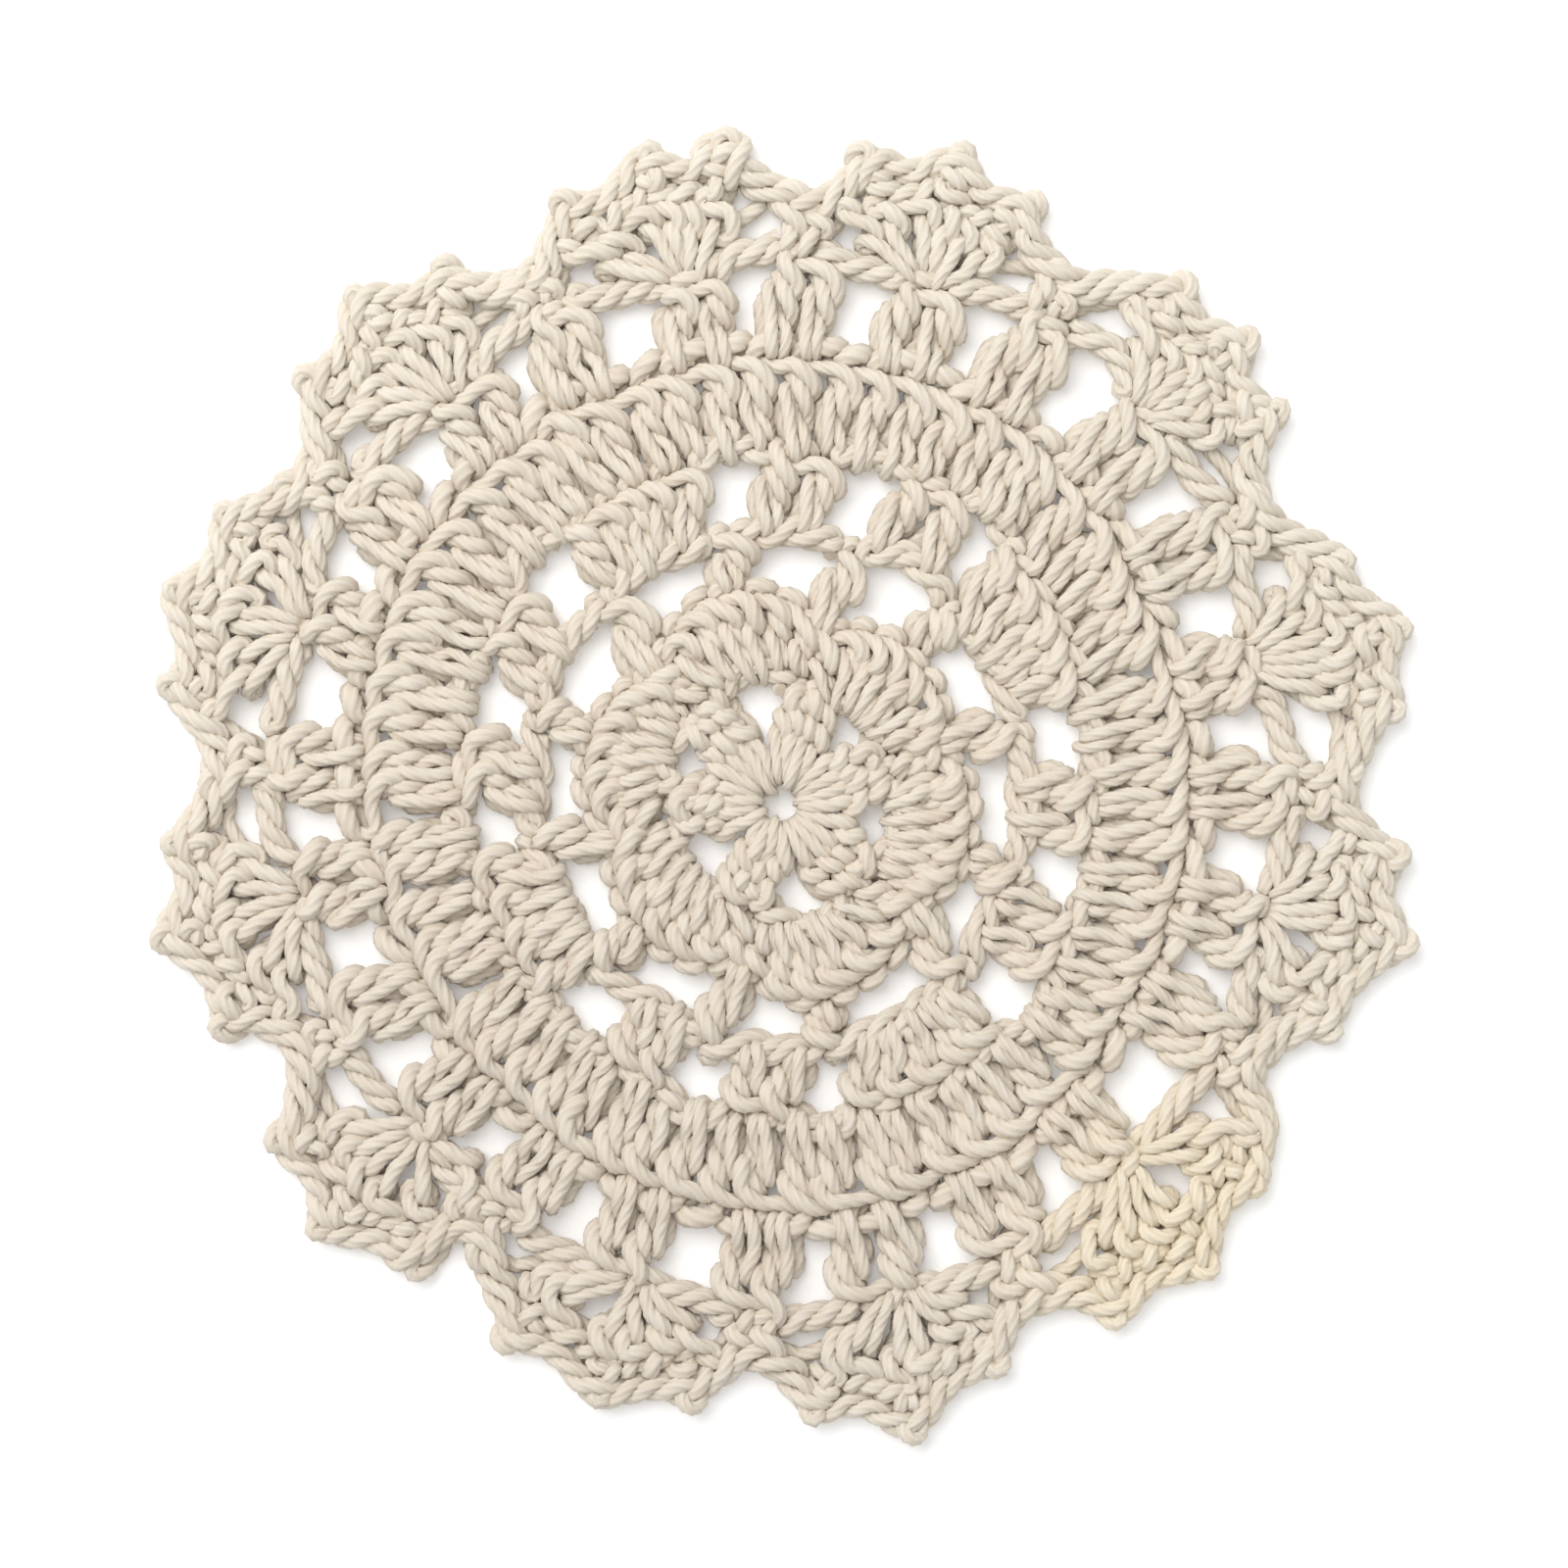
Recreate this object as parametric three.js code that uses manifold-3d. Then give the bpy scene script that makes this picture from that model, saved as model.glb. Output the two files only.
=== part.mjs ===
// Round openwork crochet coaster, worked outward from a small ring in seven rounds of cotton yarn.
// Millimetres, +Z up. It lies flat: the underside is Z = 0 and the right side of the stitches faces +Z.
// Clock angles run clockwise in degrees from +Y, and reaches are radii, both about the centre ring.

import * as THREE from 'three';
import { mergeVertices } from 'three/addons/utils/BufferGeometryUtils.js';
import Module from 'manifold-3d';

const matWidth = 128.6; // across X, over the picots
const matLength = 134.2; // across Y, over the picots
const ringOffset = new THREE.Vector2(-0.4, -1.9); // the ring is not quite at the middle of the mat
const ringReach = 1.8; // hole through the centre ring
const rimHeight = 2.1; // top of the outer wall, one yarn and its ply
const grooveHeight = 2.3; // between two stitches
const crestHeight = 3.2; // along the back of a stitch
const braidHeight = 3.4; // the level plait where the fourth round ends
const rimInset = 1.3; // from the outer wall to the crest of the edge
const picotFoot = 2.1; // half the width of a picot at its foot
const picotTip = 0.9; // half the width of a picot at its tip
const picotBlunt = 0.5; // how much the tip of a picot is rounded off
const picotRise = 2.6; // how far a picot stands out of the edge
const shoulderTurn = 2.8; // degrees from the last picot of a scallop to its shoulder
const shoulderRise = 1.8; // how far the shoulder lies outside the next valley
const gapSides = 10; // straight sides round each gap
const gapSquareness = 0.55; // 1 gives an oval gap, less a squarer one
const yarnColour = 0xded0b6;

// Where each round ends, read every thirty degrees: the mat has been pulled a little out of round.
const roundEnds = [
  { clock: 0, loops: 26.5, groups: 35.6, band: 45.7, mesh: 55.3 },
  { clock: 30, loops: 26.8, groups: 36.0, band: 46.7, mesh: 55.3 },
  { clock: 60, loops: 25.0, groups: 33.7, band: 43.9, mesh: 52.4 },
  { clock: 90, loops: 23.8, groups: 31.8, band: 41.5, mesh: 51.4 },
  { clock: 120, loops: 23.2, groups: 32.6, band: 42.0, mesh: 50.9 },
  { clock: 150, loops: 24.4, groups: 32.8, band: 42.0, mesh: 51.1 },
  { clock: 180, loops: 24.3, groups: 32.1, band: 42.5, mesh: 51.7 },
  { clock: 210, loops: 23.5, groups: 31.3, band: 40.7, mesh: 49.9 },
  { clock: 240, loops: 23.4, groups: 31.6, band: 40.2, mesh: 49.8 },
  { clock: 270, loops: 24.4, groups: 32.5, band: 41.8, mesh: 51.0 },
  { clock: 300, loops: 26.0, groups: 34.3, band: 44.4, mesh: 52.9 },
  { clock: 330, loops: 26.9, groups: 35.7, band: 45.4, mesh: 54.8 },
];

// The scallops of the edge: the valley each one starts from, its three picots, and the dips between them.
const scallopColumns = ['valley', 'first', 'dip', 'middle', 'secondDip', 'last'];
const scallopClocks = [
  [3.5, 8, 11.5, 16, 18.5, 22.5],
  [29, 37.5, 41, 45, 48.3, 51.5],
  [60, 66.5, 69, 74.5, 76.7, 80],
  [89, 95, 97.5, 102.5, 109.5, 112.5],
  [119.5, 129, 132, 137.5, 142, 147],
  [153.5, 159, 163, 168, 173, 176.5],
  [183.5, 188.5, 191, 196.5, 203.5, 207],
  [216, 218.5, 222, 227, 231, 236],
  [243, 248.5, 252, 257.5, 262, 266],
  [274, 280.5, 283, 289, 293.5, 297.5],
  [304, 312, 315, 320, 325, 327.5],
  [333, 340.5, 343, 348.5, 351.7, 355.5],
];
const scallopReaches = [
  [62.0, 68.3, 67.0, 70.0, 66.7, 68.0],
  [62.2, 68.0, 66.3, 68.2, 63.7, 66.0],
  [58.8, 64.0, 62.8, 67.2, 64.5, 64.8],
  [58.3, 64.3, 63.0, 66.5, 61.3, 62.0],
  [56.7, 63.7, 62.0, 65.5, 63.0, 64.3],
  [57.7, 62.7, 63.0, 66.8, 63.5, 64.0],
  [57.3, 62.7, 62.0, 64.6, 61.5, 62.8],
  [54.8, 62.0, 61.7, 65.5, 62.2, 63.3],
  [56.0, 62.7, 61.2, 65.6, 62.0, 63.8],
  [58.6, 64.5, 63.2, 67.1, 63.7, 65.3],
  [60.7, 66.3, 65.0, 68.8, 64.7, 65.8],
  [60.8, 66.2, 65.2, 69.2, 66.2, 69.2],
];

// Gaps, each given by its inner end and its outer end: a reach, and the clock angles of its two corners.
const gapColumns = ['low', 'lowFrom', 'lowTo', 'high', 'highFrom', 'highTo'];
const petalGaps = [
  [7.6, -9, -1, 12.4, -23, 2],
  [8.0, 50, 56, 10.9, 40, 60],
  [6.8, 110, 119, 10.8, 95, 121],
  [8.0, 170, 179, 11.5, 160, 187],
  [6.7, 235, 246, 10.4, 229, 252],
  [8.6, 296, 305, 11.6, 283, 311],
];
const loopGaps = [
  [20.8, -1, 10.6, 26.5, -7.5, 8],
  [19.8, 20.5, 29, 27.0, 21, 36.8],
  [19.4, 57, 68.5, 24.9, 47.6, 66],
  [18.6, 78, 90, 23.7, 77, 100],
  [18.8, 123, 132, 23.0, 113.4, 130],
  [20.0, 138, 151, 24.4, 136, 160.5],
  [19.8, 184, 191, 24.2, 176, 190.8],
  [18.5, 202, 210, 23.4, 201.2, 221.5],
  [19.4, 240, 254.6, 23.3, 233.4, 255],
  [19.8, 266, 275, 24.2, 265.6, 283],
  [21.0, 303, 313, 26.0, 294.6, 314.4],
  [21.6, 322.4, 331, 26.8, 322.4, 342],
];
const groupGaps = [
  [28.5, 10, 18, 35.3, 11, 19.4],
  [28.0, 37.6, 43, 35.8, 33, 39],
  [26.4, 70.5, 83.6, 31.3, 71, 83.6],
  [25.6, 99.5, 109, 31.6, 99, 109.4],
  [27.2, 128.4, 135.6, 33.0, 124.4, 134.8],
  [27.2, 164, 171, 32.2, 168.6, 175.8],
  [26.6, 191, 200.4, 31.8, 190.8, 201.4],
  [25.4, 218.6, 229.8, 30.5, 216.4, 228.8],
  [26.4, 257.4, 265.4, 31.9, 260, 267.8],
  [26.8, 281.6, 291.6, 33.0, 283, 295.2],
  [29.0, 309.8, 319.6, 35.1, 309.4, 319.4],
  [28.8, 344.2, 353.8, 35.5, 347.6, 356.6],
];
const meshGaps = [
  [47.5, 6.3, 11.6, 53.9, 6, 11.4],
  [48.8, 21.2, 24.4, 54.8, 21, 25],
  [48.9, 33.4, 39, 56.3, 34, 38.4],
  [47.1, 49.6, 53.2, 52.4, 49.2, 54],
  [44.4, 63, 69.5, 50.7, 63.2, 68.4],
  [45.0, 80.2, 83.8, 50.3, 79.2, 84],
  [44.2, 93.4, 99.4, 50.0, 93, 98.8],
  [43.4, 109.8, 113.2, 49.7, 109, 113.2],
  [44.7, 123.8, 132.3, 49.3, 123.8, 132.2],
  [44.3, 142.6, 146.8, 50.2, 142, 147.2],
  [44.2, 157.4, 163.2, 50.9, 157, 162],
  [45.2, 174.2, 177.6, 51.2, 174, 178],
  [45.0, 187.4, 195, 49.9, 187, 193.4],
  [44.3, 204, 208.4, 50.0, 203.6, 208.6],
  [43.0, 218.2, 223.2, 49.4, 218, 223.8],
  [43.2, 234.2, 238.2, 49.4, 233.6, 238.2],
  [43.2, 248, 256, 48.9, 247.6, 254],
  [44.7, 266.2, 270.4, 50.7, 265.6, 270.4],
  [45.0, 280.6, 286.5, 50.7, 280.2, 286.4],
  [46.8, 296.8, 300.4, 52.8, 297, 301.4],
  [47.0, 310.6, 316.4, 52.9, 310.2, 316],
  [47.5, 326, 329.4, 53.8, 326.8, 331],
  [47.2, 339.2, 345, 53.1, 339.2, 345.2],
  [49.0, 355, 357.4, 54.9, 354.8, 358],
];
const fanGaps = [
  [57.1, 5.6, 9.2, 59.5, 4.6, 8.8],
  [57.8, 21.6, 24.4, 59.9, 22.2, 25.6],
  [57.9, 31.6, 34.6, 60.4, 33.2, 37.4],
  [55.2, 52, 54.8, 57.0, 52.4, 55.4],
  [53.8, 61.2, 66.2, 56.4, 61, 66],
  [52.4, 78, 81.4, 57.6, 81.4, 84.8],
  [53.0, 90.6, 95.8, 56.5, 90.8, 95.2],
  [52.5, 107, 113.6, 54.4, 108.4, 116.6],
  [53.0, 124.8, 127.6, 55.2, 125.8, 129.2],
  [53.1, 142, 146.6, 56.0, 144.4, 149],
  [54.0, 173.6, 179, 57.4, 175.8, 179],
  [53.0, 184.8, 190.4, 56.5, 186, 189.6],
  [52.4, 233, 238.8, 55.9, 235.4, 238.8],
  [51.9, 244.2, 250.2, 54.1, 245.2, 250],
  [52.7, 263.6, 268.6, 57.0, 267.4, 271.6],
  [53.0, 276.6, 283, 56.4, 276.6, 282.2],
  [55.4, 307.8, 313.5, 58.4, 308.2, 312.8],
  [56.7, 327.4, 330.4, 58.2, 328.2, 331.2],
  [56.1, 338, 342.2, 59.1, 337, 341.4],
  [57.7, 355, 358, 60.0, 355.4, 359],
];

// Stitches: how many stand side by side, and the clock angles of the first and the last of them.
const petalClocks = [20, 80, 142, 207, 268, 322];
const petalSpread = 13; // from the middle stitch of a petal to the ones beside it
const shellValleys = [10, 68, 125, 191.5, 257, 314];
const shellStitches = 6;
const pillarClocks = [15.5, 42, 73, 107, 132, 168.5, 196, 228, 260.5, 288.5, 317.5, 347.5];
const groupColumns = ['stitches', 'from', 'to'];
const groups = [
  [2, 0.5, 7], [2, 22.5, 29], [4, 45, 66.5], [2, 87.5, 94.5],
  [2, 113, 120], [4, 138.5, 159.5], [2, 179, 186], [2, 205, 212],
  [4, 233.5, 254.5], [2, 271, 277.5], [2, 298.5, 305], [4, 323.5, 342],
];
const bandStitches = 60;
const meshPairs = [
  2, 16.5, 29, 44, 58.5, 74.5, 88.7, 104.5, 118.5, 137.2, 152, 168.5,
  182.7, 199.2, 213.7, 229, 243.2, 261, 275.5, 291.7, 305.7, 321.5, 335, 350,
];
const meshPairSpread = 2.5; // from the middle of a pair to each of its two stitches
const fanSpread = 3.4; // between two stitches of a fan, measured where they end

const wasm = await Module();
wasm.setup();

const rowOf = (columns, values) => Object.fromEntries(columns.map((name, i) => [name, values[i]]));

const byClock = (a, b) => a - b;

const aroundClock = (clock) => ((clock % 360) + 360) % 360;

// A point of the mat, from its clock angle and reach about the centre ring.
function spot(clock, reach) {
  const turn = THREE.MathUtils.degToRad(clock);
  return new THREE.Vector2(Math.sin(turn), Math.cos(turn)).multiplyScalar(reach).add(ringOffset);
}

// The reach at which a round ends, eased between the rows of the table.
function endOf(round, clock) {
  const step = 360 / roundEnds.length;
  const place = aroundClock(clock) / step;
  const row = Math.floor(place);
  const ease = THREE.MathUtils.smootherstep(place - row, 0, 1);
  const here = roundEnds[row % roundEnds.length][round];
  const next = roundEnds[(row + 1) % roundEnds.length][round];
  return THREE.MathUtils.lerp(here, next, ease);
}

// A ring of points along which stitches stand up as crests with grooves between them.
function stitchRing(crests, reachAt) {
  const clocks = crests.map(aroundClock).sort(byClock);
  return clocks.flatMap((clock, i) => {
    const after = i + 1 < clocks.length ? clocks[i + 1] : clocks[0] + 360;
    const between = (clock + after) / 2;
    return [
      { clock, reach: reachAt(clock), height: crestHeight },
      { clock: between, reach: reachAt(between), height: grooveHeight },
    ];
  });
}

function evenRing(count, reachAt, height) {
  return Array.from({ length: count }, (_, i) => {
    const clock = (i * 360) / count;
    return { clock, reach: reachAt(clock), height };
  });
}

// The edge: from each valley a slope up to the first picot, dips between the picots, and a steeper fall
// from the last picot to a shoulder beside the next valley.
function edgePoints() {
  const points = [];
  scallopClocks.forEach((clocks, i) => {
    const clock = rowOf(scallopColumns, clocks);
    const reach = rowOf(scallopColumns, scallopReaches[i]);
    const nextValley = scallopReaches[(i + 1) % scallopReaches.length][0];
    const degreesPerMm = THREE.MathUtils.radToDeg(1 / reach.middle);
    const along = (name, mm, drop) => {
      points.push({ clock: clock[name] + mm * degreesPerMm, reach: reach[name] - drop });
    };
    const picot = (name) => {
      along(name, -picotTip, picotBlunt);
      along(name, 0, 0);
      along(name, picotTip, picotBlunt);
    };
    along('valley', 0, 0);
    along('first', -picotFoot, picotRise);
    picot('first');
    along('dip', 0, 0);
    picot('middle');
    along('secondDip', 0, 0);
    picot('last');
    along('last', picotFoot, picotRise);
    points.push({ clock: clock.last + shoulderTurn, reach: nextValley + shoulderRise });
  });
  return points.map((p) => ({ ...p, clock: aroundClock(p.clock) })).sort((p, q) => p.clock - q.clock);
}

// The edge is brought to the mat's true width and length.
const rawEdge = edgePoints();
const edgeBox = new THREE.Box2().setFromPoints(rawEdge.map((p) => spot(p.clock, p.reach)));
const edgeFit = new THREE.Vector2(matWidth, matLength).divide(edgeBox.getSize(new THREE.Vector2()));
const edgeShift = edgeBox.getCenter(new THREE.Vector2());

const placed = (point) => {
  const at = spot(point.clock, point.reach).sub(edgeShift).multiply(edgeFit);
  return [at.x, at.y, point.height];
};

// Stitch positions of each round.
const petalCrests = petalClocks.flatMap((clock) => [clock - petalSpread, clock, clock + petalSpread]);
const shellCrests = shellValleys.flatMap((from, i) => {
  const to = i + 1 < shellValleys.length ? shellValleys[i + 1] : shellValleys[0] + 360;
  return Array.from({ length: shellStitches }, (_, k) => from + ((to - from) * (k + 0.5)) / shellStitches);
});
const groupCrests = groups.flatMap((values) => {
  const row = rowOf(groupColumns, values);
  return Array.from({ length: row.stitches }, (_, k) => (
    THREE.MathUtils.lerp(row.from, row.to, k / (row.stitches - 1))
  ));
});
const bandCrests = Array.from({ length: bandStitches }, (_, k) => ((k + 0.5) * 360) / bandStitches);
const meshCrests = meshPairs.flatMap((clock) => [clock - meshPairSpread, clock + meshPairSpread]);
const fanCrests = meshPairs.flatMap((clock, i) => (
  i % 2 ? [-1.5, -0.5, 0.5, 1.5].map((k) => clock + k * fanSpread) : [clock]
));

const edgeTop = rawEdge.map((p) => ({ ...p, height: rimHeight }));
const edgeCrest = rawEdge.map((p) => ({ ...p, reach: p.reach - rimInset, height: crestHeight }));
const edgeFoot = rawEdge.map((p) => ({ ...p, height: 0 }));

// The surface as rings of points: up the ring hole, outward over every round, down the edge, back underneath.
const rings = [
  evenRing(24, () => ringReach, 0),
  evenRing(24, () => ringReach, rimHeight),
  evenRing(24, () => ringReach + 1.2, braidHeight),
  stitchRing(petalCrests, () => 5.4),
  stitchRing(petalCrests, () => 9.6),
  stitchRing(shellCrests, () => 13.2),
  stitchRing(shellCrests, () => 17.4),
  stitchRing(pillarClocks, (clock) => endOf('loops', clock) - 3.6),
  stitchRing(groupCrests, (clock) => endOf('loops', clock) + 1.2),
  stitchRing(groupCrests, (clock) => endOf('groups', clock) - 1.6),
  evenRing(72, (clock) => endOf('groups', clock) - 0.4, braidHeight),
  evenRing(72, (clock) => endOf('groups', clock) + 0.9, braidHeight),
  stitchRing(bandCrests, (clock) => endOf('groups', clock) + 2.1),
  stitchRing(bandCrests, (clock) => endOf('band', clock) - 0.8),
  stitchRing(meshCrests, (clock) => endOf('band', clock) + 1.0),
  stitchRing(meshCrests, (clock) => endOf('mesh', clock) - 1.0),
  stitchRing(fanCrests, (clock) => endOf('mesh', clock) + 1.2),
  edgeCrest,
  edgeTop,
  edgeFoot,
  evenRing(72, () => 48, 0),
];

// Joins two neighbouring rings with triangles, stepping along whichever ring lags behind.
function zip(inner, outer, firstOfInner, firstOfOuter) {
  const faces = [];
  const clockOf = (ring, k) => ring[k % ring.length].clock + (k >= ring.length ? 360 : 0);
  let i = 0;
  let j = 0;
  while (i < inner.length || j < outer.length) {
    const a = firstOfInner + (i % inner.length);
    const b = firstOfOuter + (j % outer.length);
    const innerNext = i < inner.length ? clockOf(inner, i + 1) : Infinity;
    const outerNext = j < outer.length ? clockOf(outer, j + 1) : Infinity;
    if (innerNext <= outerNext) {
      i += 1;
      faces.push(a, firstOfInner + (i % inner.length), b);
    } else {
      j += 1;
      faces.push(a, firstOfOuter + (j % outer.length), b);
    }
  }
  return faces;
}

function ringBody() {
  const starts = [];
  let total = 0;
  for (const ring of rings) {
    starts.push(total);
    total += ring.length;
  }
  const faces = rings.flatMap((ring, k) => {
    const next = (k + 1) % rings.length;
    return zip(ring, rings[next], starts[k], starts[next]);
  });
  const geometry = new THREE.BufferGeometry();
  geometry.setAttribute('position', new THREE.Float32BufferAttribute(rings.flat().flatMap(placed), 3));
  geometry.setIndex(faces);
  return geometry;
}

// A gap as an upright prism with rounded corners that runs past both faces of the mat.
function gapPrism(values) {
  const gap = rowOf(gapColumns, values);
  const round = (value) => Math.sign(value) * Math.abs(value) ** gapSquareness;
  const points = Array.from({ length: gapSides }, (_, k) => {
    const turn = (2 * Math.PI * (k + 0.5)) / gapSides;
    const across = 0.5 + 0.5 * round(Math.cos(turn));
    const out = 0.5 + 0.5 * round(Math.sin(turn));
    const from = THREE.MathUtils.lerp(gap.lowFrom, gap.highFrom, out);
    const to = THREE.MathUtils.lerp(gap.lowTo, gap.highTo, out);
    const clock = THREE.MathUtils.lerp(from, to, across);
    const [x, y] = placed({ clock, reach: THREE.MathUtils.lerp(gap.low, gap.high, out), height: 0 });
    return new THREE.Vector2(x, y);
  });
  const prism = new THREE.ExtrudeGeometry(new THREE.Shape(points), {
    depth: braidHeight + 4,
    bevelEnabled: false,
  });
  prism.translate(0, 0, -2);
  return prism;
}

function toSolid(geometry) {
  const bare = geometry.clone();
  bare.deleteAttribute('normal');
  bare.deleteAttribute('uv');
  const merged = mergeVertices(bare, 1e-4);
  return new wasm.Manifold(new wasm.Mesh({
    numProp: 3,
    vertProperties: new Float32Array(merged.attributes.position.array),
    triVerts: new Uint32Array(merged.index.array),
  }));
}

let mat = toSolid(ringBody());
for (const values of [...petalGaps, ...loopGaps, ...groupGaps, ...meshGaps, ...fanGaps]) {
  mat = mat.subtract(toSolid(gapPrism(values)));
}

const cut = mat.getMesh();
const matGeometry = new THREE.BufferGeometry();
matGeometry.setAttribute('position', new THREE.BufferAttribute(new Float32Array(cut.vertProperties), 3));
matGeometry.setIndex(new THREE.BufferAttribute(new Uint32Array(cut.triVerts), 1));
matGeometry.computeVertexNormals();

const cotton = new THREE.MeshStandardMaterial({ color: yarnColour, roughness: 0.9, metalness: 0 });
cotton.name = 'cotton_yarn';
const coaster = new THREE.Mesh(matGeometry, cotton);
coaster.name = 'coaster';

const part = new THREE.Group();
part.name = 'crochet_coaster';
part.add(coaster);

export default part;
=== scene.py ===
import math
import bmesh
import bpy
import numpy as np
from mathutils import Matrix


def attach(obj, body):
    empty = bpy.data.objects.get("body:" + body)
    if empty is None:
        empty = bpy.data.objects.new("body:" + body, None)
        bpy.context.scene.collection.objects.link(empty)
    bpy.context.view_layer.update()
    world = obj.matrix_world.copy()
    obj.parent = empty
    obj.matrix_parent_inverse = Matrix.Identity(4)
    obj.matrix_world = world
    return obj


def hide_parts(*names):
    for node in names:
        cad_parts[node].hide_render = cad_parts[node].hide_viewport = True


# the crochet coaster, built stitch by stitch from one yarn, in the order it is worked
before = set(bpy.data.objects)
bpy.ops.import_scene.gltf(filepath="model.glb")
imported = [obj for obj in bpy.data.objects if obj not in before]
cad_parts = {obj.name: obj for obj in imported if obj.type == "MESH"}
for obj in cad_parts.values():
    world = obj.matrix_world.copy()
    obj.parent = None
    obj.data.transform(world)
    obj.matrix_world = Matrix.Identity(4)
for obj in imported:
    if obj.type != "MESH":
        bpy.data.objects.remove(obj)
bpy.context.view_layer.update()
rng = np.random.default_rng(11)

mm = 0.001
ringCentre = np.array([-0.4, -1.9])  # millimetres, as are all lengths up to the meshes
midHeight = 1.7  # middle of the fabric above the table
yarn = {"thick": 1.62, "plies": 5, "sides": 15, "lay": 8.5, "ridge": 0.07, "step": 0.6,
        "slub": 0.07, "slubMost": 1.5, "slubRun": 9.0, "slubPast": 20}
# a chain is a rope whose strands turn about each other
rope = {"girth": 0.94, "spread": 0.48, "lay": 9.0, "strands": 3, "sample": 1.1, "under": -0.75}
wobble = {"size": 0.16, "place": 0.22, "edge": 0.03, "lean": 0.18}  # how uneven the hand is

# where each round ends, every thirty degrees of the clock, from the ring
roundEnds = {
    "clock": [0, 30, 60, 90, 120, 150, 180, 210, 240, 270, 300, 330],
    "groups": [35.6, 36.0, 33.7, 31.8, 32.6, 32.8, 32.1, 31.3, 31.6, 32.5, 34.3, 35.7],
    "band": [45.0, 45.2, 42.6, 41.6, 41.0, 41.8, 41.9, 40.5, 40.5, 42.0, 44.7, 45.2],
}


def endOf(name, clock):
    clocks = np.array(roundEnds["clock"] + [360.0])
    values = np.array(roundEnds[name] + roundEnds[name][:1])
    return float(np.interp(clock % 360, clocks, values))


def spot(clock, reach):
    turn = math.radians(clock)
    return ringCentre + reach * np.array([math.sin(turn), math.cos(turn)])


def rowsOf(columns, rows):
    return [dict(zip(columns.split(), row)) for row in rows]


def between(a, b, f):
    return a + (b - a) * f


def rightOf(v):
    return np.array([v[1], -v[0]])


# a stitch has a head at its top and a post down to its foot; pinch draws its foot together,
# lip lets the back of its head lie further out, and bow bends its post sideways
def stitch(clock, reach, footClock, footReach, pinch=1.0, lip=1.0, shape="post", bow=0.0):
    return {"kind": "stitch", "top": spot(clock, reach), "foot": spot(footClock, footReach),
            "pinch": pinch, "lip": lip, "shape": shape, "bow": bow}


# a chain bows from one head to the next, as far out as reach
def chain(fromClock, fromReach, toClock, toReach, reach, bow=0.6):
    path = []
    for f in np.linspace(0, 1, 13):
        ends = between(fromReach, toReach, f)
        path.append(spot(between(fromClock, toClock, f), between(ends, reach, math.sin(math.pi * f) ** bow)))
    return {"kind": "chain", "path": np.array(path), "top": path[-1]}


# the yarn passes under the edge from one stitch to the next
def under(clock, reach):
    return {"kind": "under", "top": spot(clock, reach)}


def picot(clock, reach):
    return {"kind": "picot", "top": spot(clock, reach)}


# one tall stitch: across (mm), height (share of the post), out of the fabric (mm), girth;
# its legs are pulled thin
postShape = [
    (1.40, 0.97, -0.70, 1.00), (-0.20, 0.92, -0.95, 1.00), (-0.80, 0.90, -0.30, 1.00),
    (-0.25, 0.88, 0.45, 1.02), (0.42, 0.77, 0.80, 1.04), (1.00, 0.60, 0.60, 1.04),
    (1.10, 0.45, -0.40, 1.00), (0.30, 0.22, -0.95, 1.12), (0.10, 0.00, -0.50, 0.85),
    (0.25, 0.00, 0.40, 0.76), (0.45, 0.12, 0.95, 0.80), (0.62, 0.30, 0.80, 0.82),
    (0.45, 0.46, -0.10, 0.90), (-0.20, 0.68, -0.60, 0.95), (-0.80, 0.85, -0.10, 0.88),
    (-0.98, 0.75, 0.70, 0.85), (-0.90, 0.42, 1.20, 0.88), (-0.55, 0.12, 1.05, 0.84),
    (-0.15, -0.03, 0.25, 0.80), (-0.60, 0.04, -0.70, 1.00), (-1.40, 0.26, -1.00, 1.20),
    (-1.50, 0.56, -1.00, 1.20), (-0.80, 0.76, -0.95, 1.10), (0.40, 0.62, -0.95, 1.10),
    (1.35, 0.52, -0.20, 1.06), (1.55, 0.65, 0.75, 1.08), (1.15, 0.84, 1.10, 1.08),
    (0.30, 0.96, 1.15, 1.05),
]
# a stitch of a fan shows one fat leg, and its wrap as a bar near the top
fanShape = [
    (1.20, 0.95, -0.70, 1.00), (0.30, 0.78, -0.95, 1.00), (-0.30, 0.40, -0.95, 0.95),
    (0.00, 0.03, -0.65, 0.80), (0.10, -0.02, 0.25, 0.75), (0.00, 0.14, 0.95, 0.88),
    (0.05, 0.40, 1.10, 1.02), (-0.10, 0.66, 0.70, 1.00), (-0.60, 0.84, -0.10, 1.00),
    (-1.20, 0.80, -0.70, 1.00), (-0.90, 0.62, -0.95, 1.00), (0.20, 0.62, -0.85, 1.00),
    (1.10, 0.66, -0.05, 1.05), (1.00, 0.84, 0.85, 1.05), (0.45, 0.97, 1.05, 1.05),
]
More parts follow.
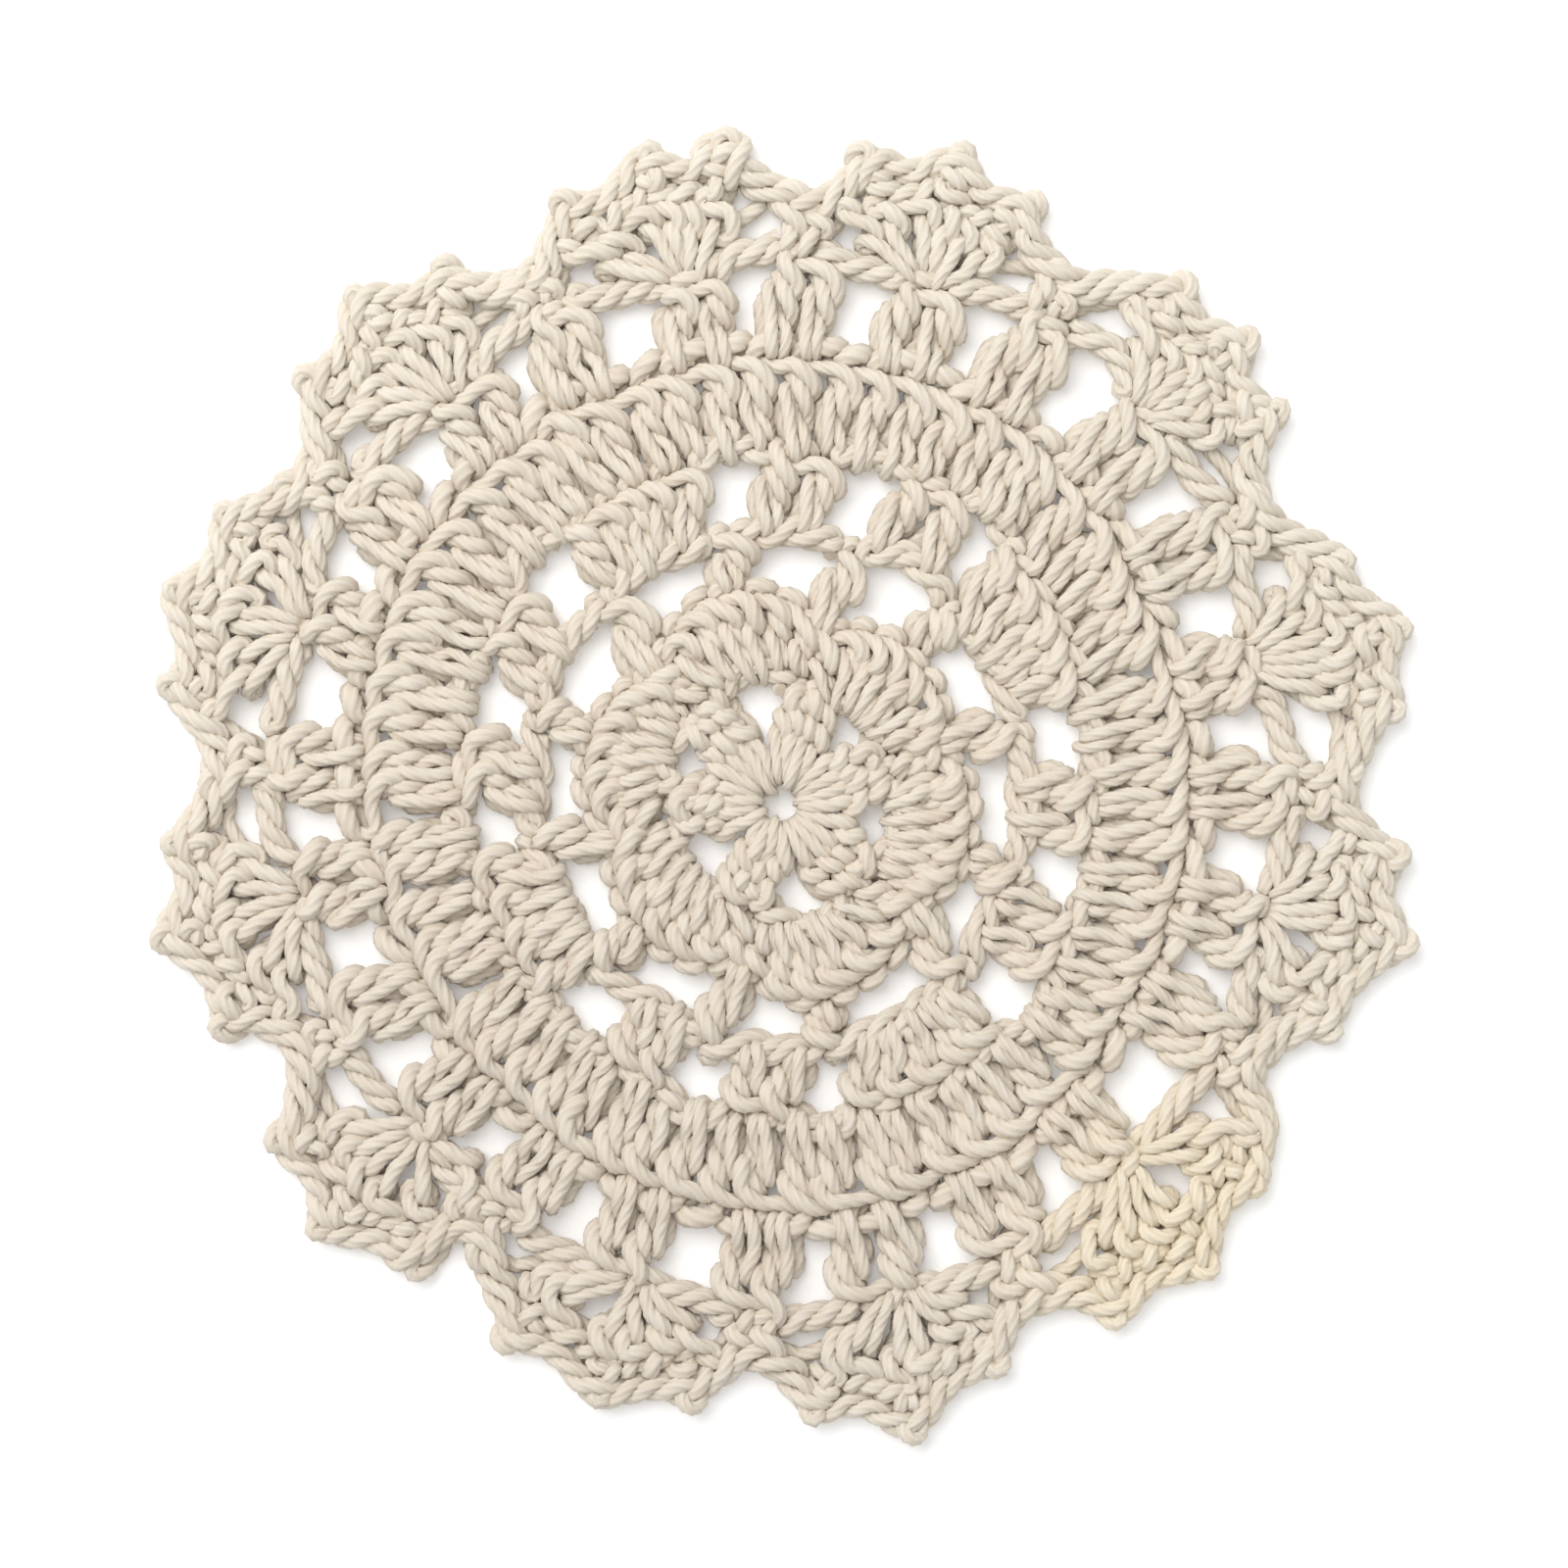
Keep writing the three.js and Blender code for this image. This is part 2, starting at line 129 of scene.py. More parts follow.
# a stitch of a petal is wrapped twice above a short leg
petalShape = [
    (1.20, 0.95, -0.70, 1.00), (0.30, 0.75, -0.95, 1.00), (-0.30, 0.35, -0.95, 0.95),
    (0.00, 0.03, -0.65, 0.80), (0.10, -0.02, 0.25, 0.78), (0.00, 0.12, 0.90, 0.88),
    (0.05, 0.32, 1.05, 0.98), (-0.10, 0.52, 0.60, 1.00), (-0.60, 0.66, -0.10, 1.00),
    (-1.00, 0.70, -0.60, 1.00), (0.00, 0.62, -0.90, 1.00), (0.90, 0.52, -0.30, 1.00),
    (1.10, 0.62, 0.60, 1.00), (0.40, 0.76, 1.00, 1.00), (-0.60, 0.80, 0.50, 1.00),
    (-1.00, 0.78, -0.40, 1.00), (0.00, 0.74, -0.90, 1.00), (1.00, 0.78, -0.20, 1.00),
    (1.10, 0.88, 0.80, 1.05), (0.45, 0.98, 1.05, 1.05),
]
shapes = {"post": postShape, "fan": fanShape, "petal": petalShape}
# a picot stands out of the edge: outward from its tip (mm), along the edge (mm), up (mm)
picotShape = [
    (-3.8, 0.55, -0.75), (-2.4, 0.75, 0.35), (-1.2, 0.48, 0.85), (-0.60, 0.00, 0.55), (-1.2, -0.48, 0.75),
    (-2.4, -0.75, 0.25), (-3.8, -0.55, -0.75),
]
# the head of a stitch lies along the edge: share of the way to the next head, outward (mm), up (mm)
headShape = [
    (0.05, 0.15, 1.00), (0.36, 0.05, 0.85), (0.72, 0.05, 0.15), (1.02, 0.30, -0.70),
    (1.06, 0.85, 0.05), (0.70, 1.20, 0.60), (0.25, 1.40, 0.35), (-0.08, 0.95, -0.80),
]
pitch = 3.4  # across two stitches that lie easily side by side
# how far a stitch may draw in or spread at its top and foot, how soon its pinched foot is full again,
# and how far its head runs on
stitchLook = {"apart": 3.9, "top": (0.6, 1.4), "foot": (0.42, 1.25), "pinchRise": 2.2, "headRun": 1.3,
              "picotRun": 2.5, "lipFrom": 0.3, "lipRamp": 0.55, "lipGirth": 0.35, "picotGirth": 0.95}


def lay(points, xy, height, girth=1.0):
    points.append((xy[0], xy[1], max(midHeight + height, 0.5 * yarn["thick"] * girth), girth))


def widthOf(gaps, least, most):
    wide = min(max(min(gaps + [stitchLook["apart"]]) / pitch, least), most)
    return wide * (1 + rng.normal(0, wobble["size"]))


def layStitch(points, node, before, after):
    beside = [m for m in (before, after) if m["kind"] == "stitch"]
    gaps = [np.linalg.norm(m["top"] - node["top"]) for m in beside]
    footGaps = [np.linalg.norm(m["foot"] - node["foot"]) for m in beside]
    topWide = widthOf(gaps, *stitchLook["top"])
    footWide = widthOf(footGaps, *stitchLook["foot"])
    post = node["top"] - node["foot"]
    tall = np.linalg.norm(post)
    up = post / tall
    right = rightOf(up)
    lean = rng.normal(0, wobble["lean"]) * pitch
    for u, v, w, girth in shapes[node["shape"]]:
        share = min(max(v, 0), 1)
        wide = between(footWide, topWide, share)
        girth *= between(node["pinch"], 1, min(share * stitchLook["pinchRise"], 1))
        side = u * wide + lean * share + node["bow"] * math.sin(math.pi * share)
        place = node["foot"] + up * ((v + rng.normal(0, wobble["edge"])) * tall) + right * side
        lay(points, place + rng.normal(0, wobble["place"], 2), w, girth)
    along = after["top"] - node["top"]
    if after["kind"] == "picot":
        along = rightOf(up) * -stitchLook["picotRun"]
    if after["kind"] == "chain":
        along = after["path"][0] - node["top"]
    reach = np.linalg.norm(along)
    outward = rightOf(along / reach)
    along = along * min(1, stitchLook["headRun"] * pitch / reach)
    for a, o, w in headShape:
        w += (node["lip"] - 1) * max(o - 1, 0)
        girth = 1 + stitchLook["lipGirth"] * (node["lip"] - 1) * min(max(o - 0.5, 0), 1)
        lip = (node["lip"] - 1) * min(max((o - stitchLook["lipFrom"]) / stitchLook["lipRamp"], 0), 1)
        place = node["top"] + along * a + outward * (o + lip)
        lay(points, place + rng.normal(0, wobble["place"], 2), w, girth)


# the strands of a chain: forward, back and forward again, turned about each other
def layChain(points, path):
    run = np.concatenate([[0], np.cumsum(np.linalg.norm(np.diff(path, axis=0), axis=1))])
    at = np.linspace(0, run[-1], max(3, int(run[-1] / rope["sample"])))
    line = np.stack([np.interp(at, run, path[:, k]) for k in range(2)], axis=1)
    along = np.gradient(line, axis=0)
    along /= np.linalg.norm(along, axis=1)[:, None]
    start = rng.uniform(0, 2 * math.pi)
    spread = rope["spread"] * yarn["thick"]
    for lap in range(rope["strands"]):
        order = range(len(at)) if lap % 2 == 0 else range(len(at) - 1, -1, -1)
        for k in order:
            turn = start + 2 * math.pi * (at[k] / rope["lay"] + lap / rope["strands"])
            side = rightOf(along[k]) * math.cos(turn) * spread
            lay(points, line[k] + side, spread * math.sin(turn), rope["girth"])


# the path of the yarn through a round, worked against the clock
def workRound(nodes):
    points = []
    nodes = nodes[::-1]
    for node in nodes:
        if node["kind"] == "chain":
            node["path"] = node["path"][::-1]
            node["top"] = node["path"][0]
    for k, node in enumerate(nodes):
        if node["kind"] == "stitch":
            layStitch(points, node, nodes[k - 1], nodes[(k + 1) % len(nodes)])
        elif node["kind"] == "chain":
            layChain(points, node["path"])
        elif node["kind"] == "picot":
            out = (node["top"] - ringCentre) / np.linalg.norm(node["top"] - ringCentre)
            for o, side, w in picotShape:
                lay(points, node["top"] + out * o + rightOf(out) * side, w, stitchLook["picotGirth"])
        else:
            lay(points, node["top"], rope["under"], rope["girth"])
    return np.array(points)


# round 1: six petals of four stitches round the ring, a chain between them
petals = rowsOf("clock tip tipReach gapTop", [
    (20, 17, 12.1, 10.9), (80, 70, 11.7, 10.8), (142, 134, 11.9, 11.5),
    (207, 200, 10.9, 10.4), (268, 267, 11.0, 11.6), (322, 319, 12.6, 12.4),
])
petalLook = {"spread": 5.6, "footSpread": 15, "foot": 1.8, "pinch": 0.62, "inside": 0.9, "drop": 0.6,
             "bow": 0.34, "chainFrom": 10, "chainInside": 0.4, "chainRise": 1.8}
petalRound = []
for k, row in enumerate(petals):
    for j in (-1.5, -0.5, 0.5, 1.5):
        petalRound.append(stitch(row["tip"] + petalLook["spread"] * j,
                                 row["tipReach"] - petalLook["inside"] - petalLook["drop"] * (abs(j) > 1),
                                 row["clock"] + petalLook["footSpread"] * j, petalLook["foot"],
                                 petalLook["pinch"], shape="petal", bow=petalLook["bow"] * j))
    after = petals[(k + 1) % 6]
    nextTip = after["tip"] + (360 if k == 5 else 0)
    petalRound.append(chain(row["tip"] + petalLook["chainFrom"], row["tipReach"] - petalLook["chainInside"],
                            nextTip - petalLook["chainFrom"], after["tipReach"] - petalLook["chainInside"],
                            row["gapTop"] + petalLook["chainRise"]))

# round 2: six shells over the chains
shells = rowsOf("valley valleyReach peak peakReach", [
    (10, 16.8, 42, 20.6), (68, 16.6, 105, 19.9), (125, 16.4, 168, 20.6),
    (191.5, 16.0, 228, 19.5), (257, 16.6, 289, 21.0), (314, 17.4, 347, 22.6),
])
shellLook = {"stitches": 7, "crown": 0.65, "inside": 1.2, "footFrom": 5, "footRise": 0.7, "pinch": 0.72}
shellRound = []
for k, row in enumerate(shells):
    after = shells[(k + 1) % 6]
    turn = 360 if k == 5 else 0
    lean = (row["peak"] - row["valley"]) / (after["valley"] + turn - row["valley"])
    tip, nextTip = petals[k]["tip"], petals[(k + 1) % 6]["tip"] + turn
    for j in range(shellLook["stitches"]):
        f = (j + 0.5) / shellLook["stitches"]
        rise = f / lean if f < lean else (1 - f) / (1 - lean)
        side = row["valleyReach"] if f < lean else after["valleyReach"]
        reach = between(side, row["peakReach"], math.sin(0.5 * math.pi * rise) ** shellLook["crown"])
        clock = between(row["valley"], after["valley"] + turn, f)
        foot = between(tip + shellLook["footFrom"], nextTip - shellLook["footFrom"], f)
        shellRound.append(stitch(clock, reach - shellLook["inside"], foot,
                                 petals[k]["gapTop"] + shellLook["footRise"], shellLook["pinch"]))

# round 3: a pillar in each valley and on each shell, joined by chain loops
pillars = rowsOf("footClock footReach clock reach loop", [
    (13, 16.8, 15.5, 25.8, 28.4), (43, 20.5, 42, 25.3, 26.2), (70, 16.5, 73.5, 24.5, 25.0),
    (107, 19.8, 107, 24.0, 24.3), (128, 16.0, 131.5, 24.5, 25.7), (169, 20.5, 168, 24.8, 25.4),
    (193, 15.8, 196, 25.0, 24.6), (229.5, 19.5, 227.5, 24.2, 24.5), (257.5, 16.2, 260.5, 24.8, 25.4),
    (290, 20.8, 288.5, 25.3, 27.3), (315, 17.0, 317.5, 26.2, 28.1), (347, 22.0, 347.5, 26.9, 27.9),
])
loopLook = {"from": 2, "rise": 0.6, "out": 0.1}
loopRound = []
for k, row in enumerate(pillars):
    after = pillars[(k + 1) % 12]
    turn = 360 if k == 11 else 0
    loopRound.append(stitch(row["clock"], row["reach"], row["footClock"], row["footReach"]))
    loopRound.append(chain(row["clock"] + loopLook["from"], row["reach"] + loopLook["rise"],
                           after["clock"] + turn - loopLook["from"], after["reach"] + loopLook["rise"],
                           row["loop"] + loopLook["out"]))

# round 4: groups of stitches over the loops, chains over the pillars
groupGaps = rowsOf("low lowFrom lowTo high highFrom highTo stitches", [
    (28.5, 10, 18, 35.3, 11, 19.4, 2), (28.0, 37.6, 43, 35.8, 33, 39, 5),
    (26.4, 70.5, 83.6, 31.3, 71, 83.6, 2), (25.6, 99.5, 109, 31.6, 99, 109.4, 2),
    (27.2, 128.4, 135.6, 33.0, 124.4, 134.8, 5), (27.2, 164, 171, 32.2, 168.6, 175.8, 2),
    (26.6, 191, 200.4, 31.8, 190.8, 201.4, 2), (25.4, 218.6, 229.8, 30.5, 216.4, 228.8, 5),
    (26.4, 257.4, 265.4, 31.9, 260, 267.8, 2), (26.8, 281.6, 291.6, 33.0, 283, 295.2, 2),
    (29.0, 309.8, 319.6, 35.1, 309.4, 319.4, 5), (28.8, 344.2, 353.8, 35.5, 347.6, 356.6, 2),
])
groupLook = {"topFrom": 3.8, "topTo": 4.4, "footFrom": 4.4, "footTo": 4.6, "inside": 0.9, "footIn": 0.6,
             "chainFrom": 1.8, "chainRise": 1.5}
groupRound = []
for k, row in enumerate(groupGaps):
    after = groupGaps[(k + 1) % 12]
    turn = 360 if k == 11 else 0
    tops = np.linspace(row["highTo"] + groupLook["topFrom"], after["highFrom"] + turn - groupLook["topTo"],
                       row["stitches"])
    feet = np.linspace(row["lowTo"] + groupLook["footFrom"], after["lowFrom"] + turn - groupLook["footTo"],
                       row["stitches"])
    groupRound.append(chain(row["highFrom"] - groupLook["chainFrom"], endOf("groups", row["highFrom"]),
                            row["highTo"] + groupLook["chainFrom"], endOf("groups", row["highTo"]),
                            row["high"] + groupLook["chainRise"]))
    for top, foot in zip(tops, feet):
        groupRound.append(stitch(top, endOf("groups", top) - groupLook["inside"], foot,
                                 pillars[k]["loop"] - groupLook["footIn"]))

# round 5: the plain band, its stitches an even step apart
bandLook = {"stitches": 64, "uneven": 0.55, "lean": 0.9, "footLean": 0.4, "inside": 0.65, "ragged": 0.35,
            "lip": 2.0, "overGap": 1.5, "onChain": 0.3, "onHeads": 0.2}


# its feet stand on the chain over a gap, and on the heads elsewhere
def bandFoot(clock):
    for row in groupGaps:
        if row["highFrom"] - bandLook["overGap"] < clock % 360 < row["highTo"] + bandLook["overGap"]:
            return row["high"] + bandLook["onChain"]
    return endOf("groups", clock) - bandLook["onHeads"]


bandRound = []
turns = np.arange(0, 360.5, 0.5)
steps = np.array([endOf("band", c) for c in turns])
reached = np.concatenate([[0], np.cumsum(0.5 * (steps[1:] + steps[:-1]))])
for k in range(bandLook["stitches"]):
    clock = float(np.interp((k + 0.5) / bandLook["stitches"] * reached[-1], reached, turns))
    clock += rng.normal(0, bandLook["uneven"])
    foot = clock + bandLook["footLean"]
    reach = endOf("band", clock) - bandLook["inside"] + rng.normal(0, bandLook["ragged"])
    bandRound.append(stitch(clock - bandLook["lean"], reach, foot, bandFoot(foot), lip=bandLook["lip"]))

# round 6: pairs worked together, each followed by a chain over a gap, whose lower and upper corners are given
mesh = rowsOf("clock reach bar lowFrom lowTo highFrom highTo", [
    (0.8, 55.5, 55.2, 6.3, 11.6, 6, 11.4), (15.5, 54.5, 56.1, 21.2, 24.4, 21, 25),
    (28, 55.5, 57.4, 33.4, 39, 34, 38.4), (43, 54.0, 53.7, 49.6, 53.2, 49.2, 54),
    (58.5, 53.2, 52.0, 63, 69.5, 63.2, 68.4), (73, 49.8, 51.6, 80.2, 83.8, 79.2, 84),
    (87.3, 51.7, 51.3, 93.4, 99.4, 93, 98.8), (102.5, 50.5, 51.0, 109.8, 113.2, 109, 113.2),
    (119.5, 51.0, 50.7, 123.8, 132.3, 123.8, 132.2), (136, 50.5, 51.5, 142.6, 146.8, 142, 147.2),
    (152, 51.2, 52.2, 157.4, 163.2, 157, 162), (166, 51.2, 52.5, 174.2, 177.6, 174, 178),
    (181.5, 52.0, 51.2, 187.4, 195, 187, 193.4), (196.6, 50.7, 51.3, 204, 208.4, 203.6, 208.6),
    (213, 49.7, 50.7, 218.2, 223.2, 218, 223.8), (227.5, 49.3, 50.7, 234.2, 238.2, 233.6, 238.2),
    (241, 50.0, 50.2, 248, 256, 247.6, 254), (258.6, 49.8, 52.0, 266.2, 270.4, 265.6, 270.4),
    (274, 51.3, 52.0, 280.6, 286.5, 280.2, 286.4), (290.2, 51.5, 54.1, 296.8, 300.4, 297, 301.4),
    (304.5, 53.5, 54.2, 310.6, 316.4, 310.2, 316), (320.5, 53.0, 55.1, 326, 329.4, 326.8, 331),
    (333.5, 55.2, 54.4, 339.2, 345, 339.2, 345.2), (349.4, 53.6, 56.2, 355, 357.4, 354.8, 358),
])
# shares say where the two posts of a pair stand between the gaps beside them;
# a chain meets a joint higher up than a star, the foot of a fan
meshLook = {"shares": (0.25, 0.74), "joint": 1.2, "star": 0.2, "inside": 0.6, "footRise": 0.1,
            "chainFrom": 2.6, "chainBow": 1.0}
meshRound = []
for k, row in enumerate(mesh):
    before, after = mesh[k - 1], mesh[(k + 1) % 24]
    turn = 360 if k == 0 else 0
    for share in meshLook["shares"]:
        top = between(before["highTo"] - turn, row["highFrom"], share)
        foot = between(before["lowTo"] - turn, row["lowFrom"], share)
        meshRound.append(stitch(top, row["reach"] - meshLook["inside"], foot,
                                endOf("band", foot) + meshLook["footRise"]))
    kinds = ("joint", "star") if k % 2 == 0 else ("star", "joint")
    meshRound.append(chain(row["highFrom"] - meshLook["chainFrom"], row["reach"] + meshLook[kinds[0]],
                           row["highTo"] + meshLook["chainFrom"], after["reach"] + meshLook[kinds[1]],
                           row["bar"], meshLook["chainBow"]))

# round 7: a fan over every second pair, a low pair on those between, and the edge with three picots a fan;
# the corners of the outline from valley to valley, each with its clock and its reach
scallopPoints = "valley rise first dip middle second last corner fall"
scallops = rowsOf(scallopPoints, [
    ((3.2, 62.3), (5.8, 64.5), (7.5, 68.2), (11.3, 66.9), (15.7, 70.0), (18.5, 66.6), (22.8, 67.8),
     (24.1, 64.2), (26, 63.1)),
    ((29, 62.0), (34, 65.0), (38, 68.0), (41, 65.9), (45.2, 68.2), (48.2, 63.7), (51.6, 66.1),
     (53.6, 62.0), (56, 59.4)),
    ((60, 58.8), (64, 61.5), (66.7, 64.0), (68.6, 63.0), (74.3, 67.1), (77, 64.5), (81.2, 64.9),
     (82.6, 62.0), (85.5, 60.2)),
    ((89.3, 58.5), (93, 61.2), (95, 64.4), (97.8, 63.0), (102.8, 66.4), (109, 61.7), (112.4, 62.2),
     (113.8, 58.8), (116.5, 57.1)),
    ((120, 56.4), (122, 60.0), (128.8, 63.6), (132, 62.0), (137.5, 65.4), (142.5, 62.8), (146.8, 64.2),
     (148.2, 61.0), (151, 58.7)),
    ((153.8, 57.9), (157, 60.0), (159.2, 62.6), (163, 62.7), (168, 66.7), (173, 63.1), (176.7, 63.9),
     (178.4, 61.4), (180.3, 58.9)),
    ((183, 57.5), (186.5, 60.4), (188.6, 62.8), (190.8, 61.8), (196.8, 64.7), (203.8, 61.6), (206.9, 62.9),
     (208.6, 59.8), (212.3, 57.6)),
    ((216.4, 54.6), (217.8, 59.0), (218.4, 62.0), (221.7, 61.6), (227.2, 65.6), (230.7, 62.2), (236, 63.4),
     (237.5, 60.0), (239.8, 58.0)),
    ((243, 56.2), (247, 58.8), (248.4, 62.7), (251.5, 61.4), (257.5, 65.5), (262.8, 62.0), (266, 63.7),
     (268.3, 61.2), (270.5, 59.3)),
    ((274.5, 58.7), (278.5, 62.0), (280.8, 64.5), (282.7, 63.1), (289.2, 67.0), (293, 63.9), (297.5, 65.3),
     (300.2, 62.2), (302, 60.8)),
    ((305.5, 60.0), (309.8, 63.0), (312, 66.2), (315, 65.0), (320, 68.8), (325, 64.7), (327.8, 65.8),
     (329.8, 62.4), (331.5, 60.9)),
    ((335, 60.6), (338.3, 63.8), (340.3, 66.3), (343, 65.2), (348.6, 69.1), (351.7, 65.9), (355.5, 69.3),
     (357.2, 65.6), (360, 63.9)),
])
# deeper draws some of them in, since the chain along the edge fills the hollows
edge = {"inset": 1.45, "soften": 3, "round": 5, "step": 0.5,
        "deeper": {"valley": 0.8, "dip": 0.4, "second": 0.4, "fall": 0.3, "last": 0.2}}
edgeKeys = []
for row in scallops:
    for name in scallopPoints.split():
        edgeKeys.append((row[name][0], row[name][1] - edge["deeper"].get(name, 0)))


# a smooth line through the points, with samples an even step apart
def smoothLine(points, step):
    p = np.concatenate([[2 * points[0] - points[1]], points, [2 * points[-1] - points[-2]]])
    fine = []
    t = np.linspace(0, 1, 12, endpoint=False)[:, None]
    for a, b, c, d in zip(p[:-3], p[1:-2], p[2:-1], p[3:]):
        square = (2 * a - 5 * b + 4 * c - d) * t ** 2
        cube = (3 * b - a - 3 * c + d) * t ** 3
        fine.append(0.5 * (2 * b + (c - a) * t + square + cube))
    return evenLine(np.concatenate(fine + [points[-1:]]), step)


def evenLine(line, step):
    run = np.concatenate([[0], np.cumsum(np.linalg.norm(np.diff(line[:, :3], axis=0), axis=1))])
    at = np.linspace(0, run[-1], max(2, int(run[-1] / step)))
    return np.stack([np.interp(at, run, line[:, k]) for k in range(line.shape[1])], axis=1)


# the middle of the edge's chain lies half its width inside the outline
def sideOf(line):
    along = np.roll(line, -1, axis=0) - np.roll(line, 1, axis=0)
    along /= np.linalg.norm(along, axis=1)[:, None]
    return np.stack([along[:, 1], -along[:, 0]], axis=1)


def soften(line, turns):
    for _ in range(turns):
        line = 0.5 * line + 0.25 * (np.roll(line, 1, axis=0) + np.roll(line, -1, axis=0))
    return line


outline = np.array([spot(clock, reach) for clock, reach in edgeKeys + edgeKeys[:1]])
outline = evenLine(outline, edge["step"])[:-1]
outline = soften(outline, edge["soften"])
outline = soften(outline + edge["inset"] * sideOf(outline), edge["round"])
outline = evenLine(np.concatenate([outline, outline[:1]]), edge["step"])[:-1]
outlineClock = np.degrees(np.arctan2(outline[:, 0] - ringCentre[0], outline[:, 1] - ringCentre[1])) % 360
outlineReach = np.linalg.norm(outline - ringCentre, axis=1)
clockOrder = np.argsort(outlineClock)


def edgeReach(clock):
    return float(np.interp(clock % 360, outlineClock[clockOrder], outlineReach[clockOrder], period=360))


# a fan: two stitches lean left, two stand up and two lean right, all from one foot, the outer ones lower;
# the joint between two fans is a low pair
fan = {"pairHalf": 1.3, "footStep": 0.45, "footRise": 0.2, "inside": 3.0, "pinch": 0.7, "lip": 0.8,
       "picotOut": 0.2, "underIn": 0.4, "jointHalf": 1.3, "jointFoot": 0.8, "jointIn": 2.8, "jointRise": 0.3,
       "jointPinch": 0.9}
# each pair has its tip, its lean, its step at the foot and how far its two heads drop
fanPairs = (("first", 1.6, -2, (1.1, 0.6)), ("middle", 0, 0, (0, 0)), ("last", -2.6, 2, (0.5, 1.3)))
closer = {(4, "first"): -2.8, (6, "last"): 1.6, (9, "last"): 2.0}  # where a pair stands near the joint
fanRound = []
for k, row in enumerate(scallops):
    joint, star = mesh[2 * k], mesh[2 * k + 1]
    valley, valleyReach = row["valley"]
    for half in (-1, 1):
        fanRound.append(stitch(valley + fan["jointHalf"] * half, valleyReach - fan["jointIn"],
                               joint["clock"] + fan["jointFoot"] * half, joint["reach"] + fan["jointRise"],
                               fan["jointPinch"], shape="fan"))
    clock = between(valley, row["first"][0], 0.5)
    fanRound.append(under(clock, edgeReach(clock) - fan["underIn"]))
    for name, lean, step, drops in fanPairs:
        tip, tipReach = row[name]
        for half, drop in zip((-1, 1), drops):
            clock = tip + lean + fan["pairHalf"] * half + closer.get((k, name), 0)
            foot = star["clock"] + (step + 0.5 * half) * fan["footStep"]
            low = min(edgeReach(clock - 1), edgeReach(clock), edgeReach(clock + 1)) - fan["inside"] - drop
            fanRound.append(stitch(clock, low, foot, star["reach"] + fan["footRise"], fan["pinch"],
                                   lip=fan["lip"], shape="fan"))
            if half == -1:
                fanRound.append(picot(tip, tipReach + fan["picotOut"]))
    nextValley = scallops[(k + 1) % 12]["valley"][0] + (360 if k == 11 else 0)
    clock = between(row["last"][0], nextValley, 0.5)
    fanRound.append(under(clock, edgeReach(clock) - fan["underIn"]))

rounds = {
    "petals": petalRound, "shells": shellRound, "loops": loopRound, "groups": groupRound,
    "band": bandRound, "mesh": meshRound, "fans": fanRound,
}
lines = {}
for name, nodes in rounds.items():
    lines[name] = smoothLine(workRound(nodes), yarn["step"])

# the ring that the first round is worked into, twice round
ringLook = {"radius": 2.9, "girth": 0.7, "turns": 2, "samples": 80, "low": 0.5, "rise": 0.5}
ringTurns = np.linspace(0, 2 * math.pi * ringLook["turns"], ringLook["samples"])
ringLine = np.stack([
    ringCentre[0] + ringLook["radius"] * np.sin(-ringTurns),
    ringCentre[1] + ringLook["radius"] * np.cos(-ringTurns),
    midHeight - ringLook["low"] + ringLook["rise"] * np.sin(ringTurns / ringLook["turns"]),
    np.full(ringLook["samples"], ringLook["girth"]),
], axis=1)
lines["ring"] = evenLine(ringLine, yarn["step"])

# the edge is one long chain: three laps of the outline that turn about each other
twists = round(edge["step"] * len(outline) / rope["lay"]) + 1 / rope["strands"]
laps = np.arange(rope["strands"] * len(outline))
edgeTurn = 2 * math.pi * twists * laps / len(outline)
edgeSpread = rope["spread"] * yarn["thick"]
edgeLine = np.zeros((len(laps), 4))
edgeLine[:, :2] = outline[laps % len(outline)]
edgeLine[:, :2] += sideOf(outline)[laps % len(outline)] * (edgeSpread * np.cos(edgeTurn))[:, None]
edgeLine[:, 2] = midHeight + edgeSpread * np.sin(edgeTurn)
edgeLine[:, 3] = rope["girth"]
lines["edge"] = evenLine(edgeLine, yarn["step"])

# stitches wound inside the edge of every scallop show as slanting bars;
# in the valleys their yarn lies under the edge
slant = {"inside": 2.2, "half": 1.05, "width": 2.5, "height": 0.25, "depth": 0.8, "girth": 0.95,
         "under": 0.6, "start": 1.5, "stop": 1, "soften": 4, "uneven": ((0.7, 0.31), (0.5, 0.13))}
worked = np.zeros(len(outline))
for row in scallops:
    start, stop = row["rise"][0] + slant["start"], row["corner"][0] - slant["stop"]
    worked[(outlineClock > start) & (outlineClock < stop)] = 1
worked = soften(worked, slant["soften"])
slantAt = np.arange(0, len(outline), 0.5)
slantTurn = 2 * math.pi * edge["step"] * slantAt / slant["width"]
slantTurn = slantTurn + sum(size * np.sin(rate * slantTurn) for size, rate in slant["uneven"])
wrapped = np.arange(len(outline) + 1) % len(outline)
slantLine = np.zeros((len(slantAt), 4))
share = np.interp(slantAt, np.arange(len(outline) + 1), worked[wrapped])
inward = share * (slant["inside"] + slant["half"] * np.cos(slantTurn))
for axis in (0, 1):
    line, side = outline[wrapped, axis], sideOf(outline)[wrapped, axis]
    slantLine[:, axis] = np.interp(slantAt, np.arange(len(wrapped)), line)
    slantLine[:, axis] += inward * np.interp(slantAt, np.arange(len(wrapped)), side)
rise = slant["under"] + slant["height"] + slant["depth"] * np.sin(slantTurn)
slantLine[:, 2] = midHeight - slant["under"] + share * rise
slantLine[:, 3] = slant["girth"]
lines["slants"] = evenLine(slantLine, yarn["step"])
print("paths", {k: round(len(v) * yarn["step"]) for k, v in lines.items()})


